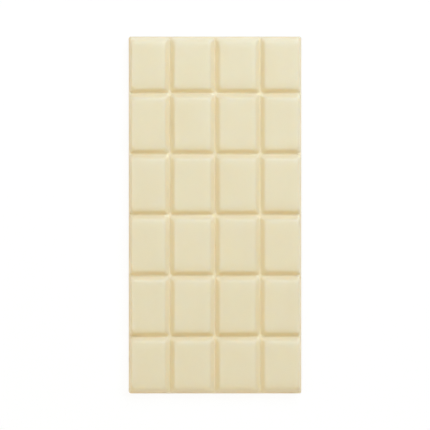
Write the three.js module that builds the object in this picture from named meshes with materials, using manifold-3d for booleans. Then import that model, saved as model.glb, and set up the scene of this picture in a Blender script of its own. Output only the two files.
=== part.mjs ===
// A moulded white chocolate bar, cast in one piece. A thin base plate carries a grid of raised
// break segments, with V-shaped grooves between them and a narrow ledge all round. The bar lies
// on its flat poured underside. Millimetres, +Z up, the long side along Y, and the origin at the
// centre of the underside.

import * as THREE from 'three';
import Module from 'manifold-3d';

// The bar, measured at its underside.
const BAR_WIDTH = 77;
const BAR_LENGTH = 159.2;
const BAR_HEIGHT = 7.2;
const BAR_CORNER_RADIUS = 1;

// The base plate under the segments: its wall leans in as it rises, and its lower edge is broken.
const PLATE_HEIGHT = 3.8;
const PLATE_WALL_LEAN = 0.4;
const UNDERSIDE_CHAMFER = 0.25;

// The grid of break segments, and the ledge of the plate that shows round the grid.
const COLUMNS = 4;
const ROWS = 6;
const COLUMN_PITCH = 20.15;
const ROW_PITCH = 27.1;
const GROOVE_FLOOR_WIDTH = 0.6;
const SIDE_LEDGE_WIDTH = 0.25;
const END_LEDGE_WIDTH = 0.3;

// The flanks of a segment: straight at first, then turning over a round shoulder to the flat top.
// Slopes are measured from the horizontal, and the drop is the height that the shoulder takes up.
// Those on the outside of the bar are the steep ones, and the shoulders at its ends are the roundest.
const GROOVE_FLANK = { slope: THREE.MathUtils.degToRad(62), shoulderDrop: 1.03 };
const SIDE_FLANK = { slope: THREE.MathUtils.degToRad(82), shoulderDrop: 1.03 };
const END_FLANK = { slope: THREE.MathUtils.degToRad(70), shoulderDrop: 1.6 };
const SHOULDER_STEPS = 5;

// The upright corners of a segment: round from the groove floor up, and rounder towards the top.
const CORNER_RADIUS_AT_FLOOR = 1.2;
const CORNER_RADIUS_AT_TOP = 2;
const CORNER_STEPS = 4;

// How far a segment's foot reaches down into the plate, so that the two fuse.
const SEGMENT_ROOT = 0.6;

const SEGMENT_HEIGHT = BAR_HEIGHT - PLATE_HEIGHT;
const WHITE_CHOCOLATE = new THREE.MeshStandardMaterial({ color: '#e9dfbe', roughness: 0.4, metalness: 0 });

const wasm = await Module();
wasm.setup();

/** The points of a rectangle with round corners, counter-clockwise. A path halves its arc steps. */
function roundedRectangle({ left, right, front, back }, radius) {
  const outline = new THREE.Path();
  outline.moveTo(right, back - radius);
  outline.absarc(right - radius, back - radius, radius, 0, Math.PI / 2);
  outline.absarc(left + radius, back - radius, radius, Math.PI / 2, Math.PI);
  outline.absarc(left + radius, front + radius, radius, Math.PI, 1.5 * Math.PI);
  outline.absarc(right - radius, front + radius, radius, 1.5 * Math.PI, 2 * Math.PI);
  return outline.getPoints(CORNER_STEPS / 2);
}

/** A closed solid through level outlines stacked from the bottom up, all with as many points. */
function loft(levels) {
  const ringSize = levels[0].outline.length;
  const positions = [];
  levels.forEach(({ outline, height }) => {
    outline.forEach((point) => positions.push(point.x, point.y, height));
  });
  const triangles = [];
  for (let level = 1; level < levels.length; level += 1) {
    const upper = level * ringSize;
    const lower = upper - ringSize;
    for (let index = 0; index < ringSize; index += 1) {
      const next = (index + 1) % ringSize;
      triangles.push(lower + index, lower + next, upper + next);
      triangles.push(lower + index, upper + next, upper + index);
    }
  }
  const topRing = (levels.length - 1) * ringSize;
  const floorFaces = THREE.ShapeUtils.triangulateShape(levels[0].outline, []);
  const topFaces = THREE.ShapeUtils.triangulateShape(levels.at(-1).outline, []);
  floorFaces.forEach(([first, second, third]) => triangles.push(third, second, first));
  topFaces.forEach((face) => triangles.push(...face.map((corner) => topRing + corner)));

  const geometry = new THREE.BufferGeometry();
  geometry.setAttribute('position', new THREE.Float32BufferAttribute(positions, 3));
  geometry.setIndex(triangles);
  return geometry;
}

/** The radius of the arc with which a flank turns over to the flat top. */
function shoulderRadius({ slope, shoulderDrop }) {
  return shoulderDrop / (1 - Math.cos(slope));
}

/** How far a flank has leaned in from its foot at a height above the groove floor. */
function flankInset(flank, height) {
  const radius = shoulderRadius(flank);
  const straightHeight = SEGMENT_HEIGHT - flank.shoulderDrop;
  if (height <= straightHeight) {
    return height / Math.tan(flank.slope);
  }
  const tilt = Math.acos(1 - (SEGMENT_HEIGHT - height) / radius);
  return straightHeight / Math.tan(flank.slope) + radius * (Math.sin(flank.slope) - Math.sin(tilt));
}

/** The heights above the groove floor at which a segment's outline is drawn: its deepest shoulder's. */
function segmentHeights() {
  const heights = [0];
  for (let step = 0; step <= SHOULDER_STEPS; step += 1) {
    const tilt = END_FLANK.slope * (1 - step / SHOULDER_STEPS);
    heights.push(SEGMENT_HEIGHT - shoulderRadius(END_FLANK) * (1 - Math.cos(tilt)));
  }
  return heights;
}

/** Where one segment's flanks start along one axis of the grid, and which flank each of them is. */
function segmentSpan(index, count, pitch, outerFoot, outerFlank) {
  const lowLine = (index - count / 2) * pitch;
  const highLine = lowLine + pitch;
  const isFirst = index === 0;
  const isLast = index === count - 1;
  return {
    low: isFirst ? -outerFoot : lowLine + GROOVE_FLOOR_WIDTH / 2,
    high: isLast ? outerFoot : highLine - GROOVE_FLOOR_WIDTH / 2,
    lowFlank: isFirst ? outerFlank : GROOVE_FLANK,
    highFlank: isLast ? outerFlank : GROOVE_FLANK,
  };
}

/** One break segment of the grid, with its foot sunk into the base plate. */
function breakSegment(column, row) {
  const sideFoot = BAR_WIDTH / 2 - PLATE_WALL_LEAN - SIDE_LEDGE_WIDTH;
  const endFoot = BAR_LENGTH / 2 - PLATE_WALL_LEAN - END_LEDGE_WIDTH;
  const across = segmentSpan(column, COLUMNS, COLUMN_PITCH, sideFoot, SIDE_FLANK);
  const along = segmentSpan(row, ROWS, ROW_PITCH, endFoot, END_FLANK);
  const levels = segmentHeights().map((height) => {
    const sides = {
      left: across.low + flankInset(across.lowFlank, height),
      right: across.high - flankInset(across.highFlank, height),
      front: along.low + flankInset(along.lowFlank, height),
      back: along.high - flankInset(along.highFlank, height),
    };
    const rise = height / SEGMENT_HEIGHT;
    const radius = THREE.MathUtils.lerp(CORNER_RADIUS_AT_FLOOR, CORNER_RADIUS_AT_TOP, rise);
    return { outline: roundedRectangle(sides, radius), height: PLATE_HEIGHT + height };
  });
  const root = { outline: levels[0].outline, height: PLATE_HEIGHT - SEGMENT_ROOT };
  return loft([root, ...levels]);
}

/** The base plate: its outline drawn in by the lean of its wall as it rises. */
function basePlate() {
  const outlineAt = (inset) => {
    const halfWidth = BAR_WIDTH / 2 - inset;
    const halfLength = BAR_LENGTH / 2 - inset;
    const sides = { left: -halfWidth, right: halfWidth, front: -halfLength, back: halfLength };
    return roundedRectangle(sides, BAR_CORNER_RADIUS);
  };
  return loft([
    { outline: outlineAt(UNDERSIDE_CHAMFER), height: 0 },
    { outline: outlineAt(0), height: UNDERSIDE_CHAMFER },
    { outline: outlineAt(PLATE_WALL_LEAN), height: PLATE_HEIGHT },
  ]);
}

/** A closed geometry, whose faces share their vertices, as a solid that can be joined with others. */
function toSolid(geometry) {
  const vertProperties = new Float32Array(geometry.attributes.position.array);
  const triVerts = new Uint32Array(geometry.index.array);
  return new wasm.Manifold(new wasm.Mesh({ numProp: 3, vertProperties, triVerts }));
}

/** A joined solid as a geometry again. */
function toGeometry(solid) {
  const mesh = solid.getMesh();
  const geometry = new THREE.BufferGeometry();
  geometry.setAttribute('position', new THREE.BufferAttribute(mesh.vertProperties, mesh.numProp));
  geometry.setIndex(new THREE.BufferAttribute(mesh.triVerts, 1));
  geometry.computeVertexNormals();
  return geometry;
}

/** The whole bar: the plate with every segment of the grid fused on. */
function chocolateBar() {
  let solid = toSolid(basePlate());
  for (let row = 0; row < ROWS; row += 1) {
    for (let column = 0; column < COLUMNS; column += 1) {
      solid = solid.add(toSolid(breakSegment(column, row)));
    }
  }
  const mesh = new THREE.Mesh(toGeometry(solid), WHITE_CHOCOLATE);
  mesh.name = 'chocolate_bar';
  return mesh;
}

const bar = new THREE.Group();
bar.add(chocolateBar());

export default bar;
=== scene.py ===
"""A moulded bar of white chocolate, lying flat on a white light table under soft studio light."""

import logging
import math
from collections.abc import Callable, Mapping
from dataclasses import dataclass, field
from enum import Enum
from functools import partial
from typing import Any

import bmesh
import bpy
from mathutils import Euler, Matrix, Vector, noise


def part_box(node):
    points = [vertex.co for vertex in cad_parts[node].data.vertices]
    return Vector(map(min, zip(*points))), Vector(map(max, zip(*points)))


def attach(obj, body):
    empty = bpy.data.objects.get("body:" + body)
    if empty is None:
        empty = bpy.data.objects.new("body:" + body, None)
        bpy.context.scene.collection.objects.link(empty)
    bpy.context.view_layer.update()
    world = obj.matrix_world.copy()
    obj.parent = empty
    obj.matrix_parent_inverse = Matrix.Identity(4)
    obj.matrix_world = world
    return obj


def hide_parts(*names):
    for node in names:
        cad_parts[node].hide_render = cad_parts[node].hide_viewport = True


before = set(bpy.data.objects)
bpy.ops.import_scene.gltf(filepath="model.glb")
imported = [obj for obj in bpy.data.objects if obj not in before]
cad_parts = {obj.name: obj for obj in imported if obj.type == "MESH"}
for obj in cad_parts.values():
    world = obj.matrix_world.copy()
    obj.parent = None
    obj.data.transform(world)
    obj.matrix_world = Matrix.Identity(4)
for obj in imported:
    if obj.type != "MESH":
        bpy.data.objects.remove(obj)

LOG = logging.getLogger("chocolate_bar")
MM = 0.001
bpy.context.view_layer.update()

# The picture is square. The bar's long side takes this much of it.
PICTURE_PX = 430
BAR_LENGTH_PX = 356.9


def linear(hex_colour: str) -> tuple[float, float, float, float]:
    """Turn an sRGB hex colour into linear light.

    Args:
        hex_colour: The colour as "#rrggbb".

    Returns:
        Red, green, blue and a full alpha, each from 0 to 1.
    """
    channels = [int(hex_colour[start:start + 2], 16) / 255 for start in (1, 3, 5)]
    red, green, blue = (c / 12.92 if c <= 0.04045 else ((c + 0.055) / 1.055) ** 2.4 for c in channels)
    return (red, green, blue, 1.0)


def per_size(millimetres: float) -> float:
    """Give the texture scale at which one feature of a pattern is this many millimetres wide."""
    return 1 / (millimetres * MM)


def add_node(tree: bpy.types.NodeTree, kind: str, settings: Mapping[str, Any] | None = None,
             values: Mapping[str | int, Any] | None = None,
             links: Mapping[str | int, bpy.types.NodeSocket] | None = None) -> bpy.types.Node:
    """Add a node to a tree, set it up and link its inputs.

    Args:
        tree: The node tree of a material or a world.
        kind: The node's type, such as "ShaderNodeMix".
        settings: The node's own properties by name.
        values: The values of its inputs, by name or number.
        links: The output that feeds each linked input, by name or number.

    Returns:
        The new node.
    """
    node = tree.nodes.new(kind)
    for name, value in (settings or {}).items():
        setattr(node, name, value)
    for name, value in (values or {}).items():
        node.inputs[name].default_value = value
    for name, output in (links or {}).items():
        tree.links.new(output, node.inputs[name])
    return node


def new_material(name: str) -> bpy.types.Material:
    """Make a node material.

    Args:
        name: The material's name.

    Returns:
        The material, without any nodes yet.
    """
    material = bpy.data.materials.new(name)
    material.use_nodes = True
    material.node_tree.nodes.clear()
    return material


class Mix(Enum):
    """The numbers of the Mix node's colour sockets, which share their names with its other kinds."""

    FACTOR = 0
    FIRST = 6
    SECOND = 7
    RESULT = 2


@dataclass(frozen=True)
class WhiteChocolate:
    """Tempered white chocolate: cocoa butter, sugar and milk powder.

    It is ivory, and some light goes about a millimetre into it and comes back warmer, so that its grooves
    glow instead of turning grey. Towards the bottom of the bar its colour also carries a painted warm
    shade. Set against a polished mould, it has a soft gloss.
    """

    name: str = "moulded_white_chocolate"
    pale: str = "#fbeed0"
    warm: str = "#f8e8c5"
    cloud_mm: float = 16.0
    cloud_detail: float = 3.0
    # Painted shade: down the wall of the plate and into the groove floors, the colour is multiplied by a
    # darker straw tint, in full below the first height and fading out by the second.
    painted_shade_tint: str = "#efe6d4"
    full_painted_shade_below_mm: float = 2.6
    no_painted_shade_above_mm: float = 4.2
    roughness: tuple[float, float] = (0.3, 0.38)
    handled_mm: float = 9.0
    handled_detail: float = 4.0
    # The stretch of the noise that is spread over the roughness.
    handled_noise: tuple[float, float] = (0.3, 0.7)
    # Cocoa butter's own index of refraction.
    ior: float = 1.46
    # How much of the light goes inside, and how far its red, green and blue travel there.
    glow_share: float = 0.2
    glow_mm: tuple[float, float, float] = (1.5, 0.6, 0.15)
    # The real grain is much finer. It is drawn as coarse as it needs to be to show.
    grain_mm: float = 0.45
    grain_detail: float = 3.0
    grain_depth_mm: float = 0.006
    swell_mm: float = 8.0
    swell_detail: float = 1.0
    swell_depth_mm: float = 0.03

    def clouded(self, tree: bpy.types.NodeTree, place: bpy.types.NodeSocket) -> bpy.types.NodeSocket:
        """Cloud the ivory between two close tones, as milk powder and cocoa butter part a little.

        Args:
            tree: The material's node tree.
            place: The place on the object, in metres.

        Returns:
            The colour output.
        """
        cloud = add_node(
            tree, "ShaderNodeTexNoise",
            values={"Scale": per_size(self.cloud_mm), "Detail": self.cloud_detail},
            links={"Vector": place})
        mixed = add_node(
            tree, "ShaderNodeMix", {"data_type": "RGBA"},
            values={Mix.FIRST.value: linear(self.pale), Mix.SECOND.value: linear(self.warm)},
            links={Mix.FACTOR.value: cloud.outputs["Fac"]})
        return mixed.outputs[Mix.RESULT.value]

    def colour(self, tree: bpy.types.NodeTree, place: bpy.types.NodeSocket) -> bpy.types.NodeSocket:
        """Paint shade on the clouded ivory: tint it a darker straw towards the bottom of the bar.

        Args:
            tree: The material's node tree.
            place: The place on the object, in metres.

        Returns:
            The colour output.
        """
        height = add_node(tree, "ShaderNodeSeparateXYZ", links={"Vector": place}).outputs["Z"]
        # How much painted shade falls at each height: all of it low down, none higher up.
        depth = add_node(
            tree, "ShaderNodeMapRange", {"interpolation_type": "SMOOTHSTEP"},
            values={"From Min": self.full_painted_shade_below_mm * MM, "From Max": self.no_painted_shade_above_mm * MM,
                    "To Min": 1.0, "To Max": 0.0},
            links={"Value": height}).outputs["Result"]
        painted_shade_mix = add_node(
            tree, "ShaderNodeMix", {"data_type": "RGBA", "blend_type": "MULTIPLY"},
            values={Mix.SECOND.value: linear(self.painted_shade_tint)},
            links={Mix.FACTOR.value: depth, Mix.FIRST.value: self.clouded(tree, place)})
        return painted_shade_mix.outputs[Mix.RESULT.value]

    def sheen(self, tree: bpy.types.NodeTree, place: bpy.types.NodeSocket) -> bpy.types.NodeSocket:
        """Vary the gloss in soft patches, as where warm fingers have touched.

        Args:
            tree: The material's node tree.
            place: The place on the object, in metres.

        Returns:
            The roughness output.
        """
        patches = add_node(
            tree, "ShaderNodeTexNoise",
            values={"Scale": per_size(self.handled_mm), "Detail": self.handled_detail},
            links={"Vector": place})
        low_noise, high_noise = self.handled_noise
        glossiest, dullest = self.roughness
        spread = add_node(
            tree, "ShaderNodeMapRange",
            values={"From Min": low_noise, "From Max": high_noise, "To Min": glossiest, "To Max": dullest},
            links={"Value": patches.outputs["Fac"]})
        return spread.outputs["Result"]

    def relief(self, tree: bpy.types.NodeTree, place: bpy.types.NodeSocket) -> bpy.types.NodeSocket:
        """Give the surface a slow swell from shrinking as it set, and a fine grain.

        Args:
            tree: The material's node tree.
            place: The place on the object, in metres.

        Returns:
            The normal output.
        """
        swell = add_node(
            tree, "ShaderNodeTexNoise",
            values={"Scale": per_size(self.swell_mm), "Detail": self.swell_detail},
            links={"Vector": place})
        slow = add_node(
            tree, "ShaderNodeBump",
            values={"Distance": self.swell_depth_mm * MM},
            links={"Height": swell.outputs["Fac"]})
        grain = add_node(
            tree, "ShaderNodeTexNoise",
            values={"Scale": per_size(self.grain_mm), "Detail": self.grain_detail},
            links={"Vector": place})
        fine = add_node(
            tree, "ShaderNodeBump",
            values={"Distance": self.grain_depth_mm * MM},
            links={"Height": grain.outputs["Fac"], "Normal": slow.outputs["Normal"]})
        return fine.outputs["Normal"]

    def material(self) -> bpy.types.Material:
        """Make the material.

        Returns:
            The finished node material.
        """
        material = new_material(self.name)
        tree = material.node_tree
        place = add_node(tree, "ShaderNodeTexCoord").outputs["Object"]
        shader = add_node(
            tree, "ShaderNodeBsdfPrincipled", {"subsurface_method": "BURLEY"},
            values={"IOR": self.ior, "Metallic": 0.0, "Subsurface Weight": self.glow_share,
                    "Subsurface Radius": [reach / max(self.glow_mm) for reach in self.glow_mm],
                    "Subsurface Scale": max(self.glow_mm) * MM},
            links={"Base Color": self.colour(tree, place), "Roughness": self.sheen(tree, place),
                   "Normal": self.relief(tree, place)})
        add_node(tree, "ShaderNodeOutputMaterial", links={"Surface": shader.outputs["BSDF"]})
        return material


@dataclass(frozen=True)
class PouredChocolate(WhiteChocolate):
    """The open side of the mould, where the chocolate set in air.

    It is duller and wavier than the moulded side, with the small pits of burst air bubbles.
    """

    name: str = "poured_white_chocolate"
    roughness: tuple[float, float] = (0.45, 0.6)
    swell_mm: float = 11.0
    swell_depth_mm: float = 0.25
    bubble_spacing_mm: float = 7.0
    bubble_radius_mm: float = 0.7
    bubble_depth_mm: float = 0.25
    # How much of a pit's radius its flat floor takes.
    bubble_floor: float = 0.3

    def colour(self, tree: bpy.types.NodeTree, place: bpy.types.NodeSocket) -> bpy.types.NodeSocket:
        """Leave the back in its clouded ivory, without the painted shade towards the bottom."""
        return self.clouded(tree, place)

    def relief(self, tree: bpy.types.NodeTree, place: bpy.types.NodeSocket) -> bpy.types.NodeSocket:
        """Add round, scattered pits to the swell and the grain.

        Args:
            tree: The material's node tree.
            place: The place on the object, in metres.

        Returns:
            The normal output.
        """
        surface = super().relief(tree, place)
        bubbles = add_node(
            tree, "ShaderNodeTexVoronoi",
            values={"Scale": per_size(self.bubble_spacing_mm)},
            links={"Vector": place})
        rim = self.bubble_radius_mm / self.bubble_spacing_mm
        pit = add_node(
            tree, "ShaderNodeMapRange", {"interpolation_type": "SMOOTHSTEP"},
            values={"From Min": rim * self.bubble_floor, "From Max": rim, "To Min": 0.0, "To Max": 1.0},
            links={"Value": bubbles.outputs["Distance"]})
        pitted = add_node(
            tree, "ShaderNodeBump",
            values={"Distance": self.bubble_depth_mm * MM},
            links={"Height": pit.outputs["Result"], "Normal": surface})
        return pitted.outputs["Normal"]


@dataclass(frozen=True)
class OpalPanel:
    """The opal acrylic top of a light table: white from the lamps under it, so that shadows stay faint."""

    name: str = "opal_panel"
    colour: str = "#616161"
    lamp_colour: str = "#ffffff"
    lamp_strength: float = 0.9
    roughness: float = 0.9
    specular: float = 0.2
    tooth_mm: float = 0.6
    tooth_depth_mm: float = 0.02

    def material(self) -> bpy.types.Material:
        """Make the material.

        Returns:
            The finished node material.
        """
        material = new_material(self.name)
        tree = material.node_tree
        place = add_node(tree, "ShaderNodeTexCoord").outputs["Object"]
        tooth = add_node(
            tree, "ShaderNodeTexNoise",
            values={"Scale": per_size(self.tooth_mm)},
            links={"Vector": place})
        bump = add_node(
            tree, "ShaderNodeBump",
            values={"Distance": self.tooth_depth_mm * MM},
            links={"Height": tooth.outputs["Fac"]})
        shader = add_node(
            tree, "ShaderNodeBsdfPrincipled",
            values={"Base Color": linear(self.colour), "Roughness": self.roughness,
                    "Specular IOR Level": self.specular, "Emission Color": linear(self.lamp_colour),
                    "Emission Strength": self.lamp_strength},
            links={"Normal": bump.outputs["Normal"]})
        add_node(tree, "ShaderNodeOutputMaterial", links={"Surface": shader.outputs["BSDF"]})
        return material


class Flank(Enum):
    """A segment's sides: degrees from the horizontal, shoulder drop in mm and foot radius in mm."""

    GROOVE = (62.0, 1.03, 0.4)
    SIDE = (82.0, 1.03, 0.15)
    END = (70.0, 1.6, 0.15)

    @property
    def slope(self) -> float:
        """The steepness in radians."""
        return math.radians(self.value[0])

    @property
    def shoulder_drop(self) -> float:
        """How far below the end of its arc the shoulder starts."""
        return self.value[1] * MM

    @property
    def shoulder_radius(self) -> float:
        """The radius with which the shoulder turns from the flank to the top."""
        return self.shoulder_drop / (1 - math.cos(self.slope))

    @property
    def foot_radius(self) -> float:
        """The radius with which the flank turns out into the groove floor or the ledge."""
        return self.value[2] * MM

    @property
    def foot_rise(self) -> float:
        """The height above the floor at which that fillet ends."""
        return self.foot_radius * (1 - math.cos(self.slope))


@dataclass(frozen=True)
class Span:
    """Where a segment's feet are along one axis of the grid, and what flank rises from each."""

    low: float
    high: float
    low_flank: Flank
    high_flank: Flank

    def at(self, inset: Callable[[Flank], float]) -> tuple[float, float]:
        """Give the two ends of the span, each drawn in by its own flank's inset."""
        return (self.low + inset(self.low_flank), self.high - inset(self.high_flank))


@dataclass
class MouldedBar:
    """The whole bar: a base plate with a ledge all round, and the grid of break segments on it.

    It is one closed skin. Each outline is a ring, and rings at rising heights are bridged.
    """

    node: str = "chocolate_bar"
    columns: int = 4
    rows: int = 6
    column_pitch: float = 20.15 * MM
    row_pitch: float = 27.1 * MM
    groove_floor: float = 0.6 * MM
    plate_height: float = 3.8 * MM
    wall_lean: float = 0.4 * MM
    side_ledge: float = 0.25 * MM
    end_ledge: float = 0.3 * MM
    plate_corner: float = 1.0 * MM
    edge_round: float = 0.25 * MM
    ledge_round: float = 0.1 * MM
    corner_at_foot: float = 1.2 * MM
    corner_at_top: float = 2.0 * MM
    corner_steps: int = 8
    round_steps: int = 8
    side_cuts: int = 6
    # A segment's top goes on from its shoulder in a faint crown, with rings this far inside the
    # shoulder's end. The crown falls away from its flat middle by this power of the distance.
    top_margins: tuple[float, ...] = (0.5 * MM, 1.0 * MM, 1.6 * MM, 2.4 * MM, 3.4 * MM, 4.6 * MM)
    top_crown: float = 0.2 * MM
    crown_power: int = 4
    # The back sinks in by the hollow over the width of the rim, on rings at these shares of that width.
    back_rim: float = 2.5 * MM
    back_hollow: float = 0.15 * MM
    back_shares: tuple[float, ...] = (1.0, 0.75, 0.5, 0.25)
    ripple_mm: float = 9.0
    ripple_depth: float = 0.035 * MM
    # Left alone, Blender starts this noise from the clock.
    ripple_seed: int = 1
    # An edge that turns by more than this is shaded sharp.
    crease: float = math.radians(35)
    # Low faces whose normal has less than this along Z make up the poured back.
    back_normal: float = -0.9
    finish: WhiteChocolate = field(default_factory=WhiteChocolate)
    back_finish: PouredChocolate = field(default_factory=PouredChocolate)

    def __post_init__(self) -> None:
        """Take the overall size from the CAD solid, so that the skin fills the same box."""
        low, high = (Vector(corner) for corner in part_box(self.node))
        self.width, self.length, self.height = high - low
        # The shoulders of a segment end this far above the groove floor, and its crown rises from there.
        self.segment_height = self.height - self.plate_height - self.top_crown

    def inset(self, flank: Flank, rise: float) -> float:
        """Say how far a flank has leaned in from the line of its foot.

        Args:
            flank: Which kind of flank.
            rise: The height above the groove floor.

        Returns:
            The inset: negative on the small fillet at the foot, largest where the shoulder ends.
        """
        slope = flank.slope
        straight_top = self.segment_height - flank.shoulder_drop
        if rise < flank.foot_rise:
            tilt = math.acos(1 - rise / flank.foot_radius)
            return flank.foot_radius * (math.sin(tilt) - math.tan(slope / 2))
        if rise <= straight_top:
            return rise / math.tan(slope)
        tilt = math.acos(min(1.0, 1 - (self.segment_height - rise) / flank.shoulder_radius))
        return straight_top / math.tan(slope) + flank.shoulder_radius * (math.sin(slope) - math.sin(tilt))

    def rises(self) -> list[float]:
        """List the heights at which a segment's sides have a ring.

        The last one is a step short of the shoulder's end, where the shoulder is about as steep as
        the crown that goes on from it.

        Returns:
            The heights above the groove floor, rising.
        """
        shares = [step / self.round_steps for step in range(self.round_steps + 1)]
        widest = max(Flank, key=lambda flank: flank.foot_rise)
        deepest = max(Flank, key=lambda flank: flank.shoulder_drop)
        foot = [widest.foot_radius * (1 - math.cos(widest.slope * share)) for share in shares]
        shoulder = [self.segment_height - deepest.shoulder_radius * (1 - math.cos(deepest.slope * share))
                    for share in reversed(shares[1:])]
        return foot + shoulder

    def span(self, index: int, count: int, pitch: float, outer_foot: float, outer: Flank) -> Span:
        """Find one segment's feet along one axis.

        Args:
            index: Which column or row it is in.
            count: How many there are.
            pitch: The distance between groove centre lines.
            outer_foot: The distance from the bar's centre to the grid's outer edge.
            outer: The kind of flank on the outside of the bar.

        Returns:
            The span of the segment.
        """
        low_line = (index - count / 2) * pitch
        first, last = index == 0, index == count - 1
        return Span(
            low=-outer_foot if first else low_line + self.groove_floor / 2,
            high=outer_foot if last else low_line + pitch - self.groove_floor / 2,
            low_flank=outer if first else Flank.GROOVE,
            high_flank=outer if last else Flank.GROOVE,
        )

    def ring(self, bm: bmesh.types.BMesh, across: tuple[float, float], along: tuple[float, float],
             radius: float, height: float) -> list[bmesh.types.BMEdge]:
        """Draw a level rectangle with round corners: a circle whose quarters are pulled apart.

        Args:
            bm: The mesh to draw in.
            across: The rectangle's ends along X.
            along: Its ends along Y.
            radius: The radius of its corners.
            height: Its height.

        Returns:
            The ring's edges.
        """
        steps = 4 * self.corner_steps
        turn = Matrix.Rotation(math.pi / steps, 4, "Z")
        verts = bmesh.ops.create_circle(bm, segments=steps, radius=radius, matrix=turn)["verts"]
        quarter = {vert: (vert.co.x > 0, vert.co.y > 0) for vert in verts}
        # A dict drops the repeats and, unlike a set, has the same order on each run.
        edges = list(dict.fromkeys(edge for vert in verts for edge in vert.link_edges))
        for right in (False, True):
            for back in (False, True):
                centre = Vector((across[1] - radius if right else across[0] + radius,
                                 along[1] - radius if back else along[0] + radius, height))
                corner = [vert for vert in verts if quarter[vert] == (right, back)]
                bmesh.ops.translate(bm, verts=corner, vec=centre)
        long_edges = [edge for edge in edges if quarter[edge.verts[0]] != quarter[edge.verts[1]]]
        cut = bmesh.ops.subdivide_edges(bm, edges=long_edges, cuts=self.side_cuts)["geom_split"]
        edges += [part for part in cut if isinstance(part, bmesh.types.BMEdge)]
        return list(dict.fromkeys(edges))

    def stack(self, bm: bmesh.types.BMesh, rings: list[list[bmesh.types.BMEdge]]) -> None:
        """Bridge each ring of a stack to the next."""
        for lower, upper in zip(rings, rings[1:]):
            bmesh.ops.bridge_loops(bm, edges=lower + upper)

    def segment(self, bm: bmesh.types.BMesh, column: int, row: int) -> None:
        """Raise one break segment, open at its foot.

        Args:
            bm: The empty mesh to build it in.
            column: Its column in the grid.
            row: Its row.
        """
        side_foot = self.width / 2 - self.wall_lean - self.side_ledge
        end_foot = self.length / 2 - self.wall_lean - self.end_ledge
        across = self.span(column, self.columns, self.column_pitch, side_foot, Flank.SIDE)
        along = self.span(row, self.rows, self.row_pitch, end_foot, Flank.END)
        rings = []
        for rise in self.rises():
            share = rise / self.segment_height
            radius = self.corner_at_foot + share * (self.corner_at_top - self.corner_at_foot)
            inset = partial(self.inset, rise=rise)
            rings.append(self.ring(bm, across.at(inset), along.at(inset), radius, self.plate_height + rise))
        top_inset = partial(self.inset, rise=self.segment_height)
        (left, right), (near, far) = across.at(top_inset), along.at(top_inset)
        for margin in self.top_margins:
            radius = self.corner_at_top / (1 + margin / self.corner_at_top)
            dip = self.top_crown * (1 - margin / self.top_margins[-1]) ** self.crown_power
            rings.append(self.ring(bm, (left + margin, right - margin), (near + margin, far - margin),
                                   radius, self.height - dip))
        self.stack(bm, rings)
        bmesh.ops.contextual_create(bm, geom=rings[-1])

    def plate(self, bm: bmesh.types.BMesh) -> None:
        """Make the base plate, from the middle of its back round the wall to the edge of its ledge.

        The back is drawn as a cone under the wall and is then folded up into its shallow hollow.

        Args:
            bm: The empty mesh to build it in.
        """
        soft, ledge_soft = self.edge_round, self.ledge_round
        turns = [math.pi / 2 * step / self.round_steps for step in range(self.round_steps + 1)]
        levels = [(soft + depth, -depth) for depth in (self.back_rim * share for share in self.back_shares)]
        levels += [(soft * (1 - math.sin(turn)), soft * (1 - math.cos(turn))) for turn in turns]
        levels += [(self.wall_lean + ledge_soft * (1 - math.cos(turn)),
                    self.plate_height - ledge_soft * (1 - math.sin(turn))) for turn in turns]
        rings = []
        for inset, height in levels:
            half_width, half_length = self.width / 2 - inset, self.length / 2 - inset
            rings.append(self.ring(bm, (-half_width, half_width), (-half_length, half_length),
                                   self.plate_corner, height))
        self.stack(bm, rings)
        bmesh.ops.contextual_create(bm, geom=rings[0])
        for vert in bm.verts:
            if vert.co.z < 0:
                vert.co.z = self.back_hollow * (vert.co.z / self.back_rim) ** 2

    def add_part(self, bm: bmesh.types.BMesh, make: Callable[[bmesh.types.BMesh], None]) -> None:
        """Make a part in a mesh of its own, where the operators are quick, and add it to the bar.

        Args:
            bm: The bar's mesh.
            make: What builds the part in an empty mesh.
        """
        part = bmesh.new()
        make(part)
        mesh = bpy.data.meshes.new("part_of_bar")
        part.to_mesh(mesh)
        part.free()
        bm.from_mesh(mesh)
        bpy.data.meshes.remove(mesh)

    def ripple(self, bm: bmesh.types.BMesh) -> None:
        """Shift the segments' skin by hundredths of a millimetre, so that no edge looks ruled.

        Args:
            bm: The bar's mesh.
        """
        noise.seed_set(self.ripple_seed)
        for vert in bm.verts:
            rise = vert.co.z - self.plate_height
            if rise > Flank.GROOVE.foot_rise:
                wave = noise.noise_vector(vert.co * per_size(self.ripple_mm)) * self.ripple_depth
                wave.z = -abs(wave.z)
                vert.co += wave

    def build(self) -> bpy.types.Object:
        """Build the skin and put it in the place of the CAD solid.

        Returns:
            The finished piece.
        """
        bm = bmesh.new()
        self.add_part(bm, self.plate)
        for column in range(self.columns):
            for row in range(self.rows):
                self.add_part(bm, partial(self.segment, column=column, row=row))
        open_edges = [edge for edge in bm.edges if edge.is_boundary]
        bmesh.ops.triangle_fill(bm, use_beauty=True, edges=open_edges, normal=(0, 0, 1))
        self.ripple(bm)
        bmesh.ops.recalc_face_normals(bm, faces=bm.faces)
        mesh = bpy.data.meshes.new("white_chocolate_bar")
        bm.to_mesh(mesh)
        bm.free()
        piece = bpy.data.objects.new("white_chocolate_bar", mesh)
        bpy.context.scene.collection.objects.link(piece)
        self.dress(piece)
        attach(piece, "root")
        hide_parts(self.node)
        return piece

    def dress(self, piece: bpy.types.Object) -> None:
        """Shade the skin smooth and give its moulded faces and its poured back their finishes.

        Args:
            piece: The bar.
        """
        mesh = piece.data
        mesh.shade_smooth()
        mesh.set_sharp_from_angle(angle=self.crease)
        mesh.materials.append(self.finish.material())
        mesh.materials.append(self.back_finish.material())
        for polygon in mesh.polygons:
            is_low = polygon.center.z < self.back_hollow
            polygon.material_index = int(is_low and polygon.normal.z < self.back_normal)


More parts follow.
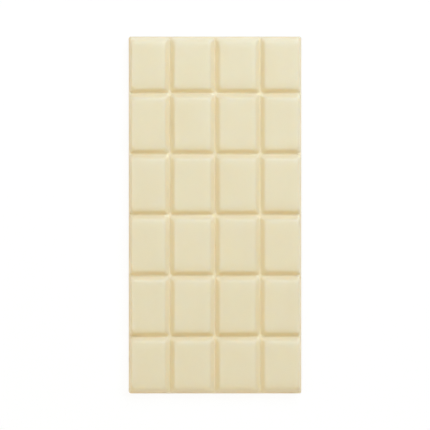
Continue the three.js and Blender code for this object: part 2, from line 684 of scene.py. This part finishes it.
@dataclass
class SoftBox:
    """A square studio light with a cloth front, hung round the bar and aimed at it.

    Bearings are in degrees clockwise from +Y, the bar's far end, and heights in degrees above the table.
    """

    name: str
    bearing: float
    height: float
    watts: float
    colour: str
    distance: float = 1.2
    size: float = 0.6

    def build(self) -> bpy.types.Object:
        """Hang the light.

        Returns:
            The light.
        """
        data = bpy.data.lights.new(self.name, "AREA")
        data.shape = "SQUARE"
        data.size = self.size
        data.energy = self.watts
        data.color = linear(self.colour)[:3]
        light = bpy.data.objects.new(self.name, data)
        turn = Euler((math.radians(self.height), 0.0, -math.radians(self.bearing)))
        light.location = turn.to_matrix() @ Vector((0.0, self.distance, 0.0))
        light.rotation_euler = light.location.to_track_quat("Z", "Y").to_euler()
        bpy.context.scene.collection.objects.link(light)
        return light


@dataclass
class Studio:
    """The light table, the lights, the dim room and the camera straight above."""

    panel: OpalPanel = field(default_factory=OpalPanel)
    panel_half_side: float = 3.0
    panel_drop: float = 0.05 * MM
    room_colour: str = "#ffdc79"
    room_strength: float = 0.27
    # The high lights are cool, and the golden near fill gilds the shaded side of each groove.
    soft_boxes: tuple[SoftBox, ...] = (
        SoftBox("far_low_key", bearing=20, height=35, watts=0.71, colour="#fff2d7", distance=0.9),
        SoftBox("far_key", bearing=20, height=50, watts=3.83, colour="#b7d8ff", distance=0.9),
        SoftBox("right_key", bearing=60, height=50, watts=4.65, colour="#d8edff"),
        SoftBox("near_low_fill", bearing=180, height=12, watts=4.82, colour="#85bdff", distance=2.0),
        SoftBox("near_fill", bearing=180, height=30, watts=4.33, colour="#ffd836", distance=2.0),
        SoftBox("left_low_fill", bearing=270, height=30, watts=1.47, colour="#ffebb9"),
        SoftBox("left_high_fill", bearing=270, height=55, watts=3.02, colour="#d1e9ff"),
    )
    camera_height: float = 3.0
    film_mm: float = 36.0

    def lay_panel(self) -> bpy.types.Object:
        """Lay the panel that the bar rests on.

        Returns:
            The floor.
        """
        bm = bmesh.new()
        bmesh.ops.create_grid(bm, x_segments=1, y_segments=1, size=self.panel_half_side,
                              matrix=Matrix.Translation((0, 0, -self.panel_drop)))
        mesh = bpy.data.meshes.new("light_table")
        bm.to_mesh(mesh)
        bm.free()
        mesh.materials.append(self.panel.material())
        floor = bpy.data.objects.new("light_table", mesh)
        bpy.context.scene.collection.objects.link(floor)
        return floor

    def light(self) -> None:
        """Fill the room with a little light and hang the soft boxes."""
        world = bpy.data.worlds.new("dim_room")
        world.use_nodes = True
        world.node_tree.nodes.clear()
        glow = add_node(world.node_tree, "ShaderNodeBackground",
                        values={"Color": linear(self.room_colour), "Strength": self.room_strength})
        add_node(world.node_tree, "ShaderNodeOutputWorld", links={"Surface": glow.outputs["Background"]})
        bpy.context.scene.world = world
        for soft_box in self.soft_boxes:
            soft_box.build()

    def set_camera(self, bar: MouldedBar) -> bpy.types.Object:
        """Hang the camera over the bar's centre, with the bar's length filling its share of the picture.

        Args:
            bar: The bar to frame.

        Returns:
            The camera.
        """
        data = bpy.data.cameras.new("overhead_camera")
        data.sensor_width = self.film_mm
        view_side = bar.length * PICTURE_PX / BAR_LENGTH_PX
        data.lens = self.film_mm * self.camera_height / view_side
        camera = bpy.data.objects.new("overhead_camera", data)
        camera.location = (0.0, 0.0, self.camera_height)
        bpy.context.scene.collection.objects.link(camera)
        bpy.context.scene.camera = camera
        return camera

    def build(self, bar: MouldedBar) -> None:
        """Set up the whole studio round the bar.

        Args:
            bar: The bar to light and frame.
        """
        self.lay_panel()
        self.light()
        self.set_camera(bar)
        # The plain transfer keeps the white of the table white.
        bpy.context.scene.view_settings.view_transform = "Standard"


def main() -> None:
    """Build the bar and the studio, and report each piece."""
    logging.basicConfig(level=logging.INFO, format="%(name)s: %(message)s")
    bar = MouldedBar()
    piece = bar.build()
    LOG.info("%s has %d faces", piece.name, len(piece.data.polygons))
    Studio().build(bar)
    LOG.info("the studio is lit with %d lights", len(bpy.data.lights))


if __name__ == "__main__":
    main()
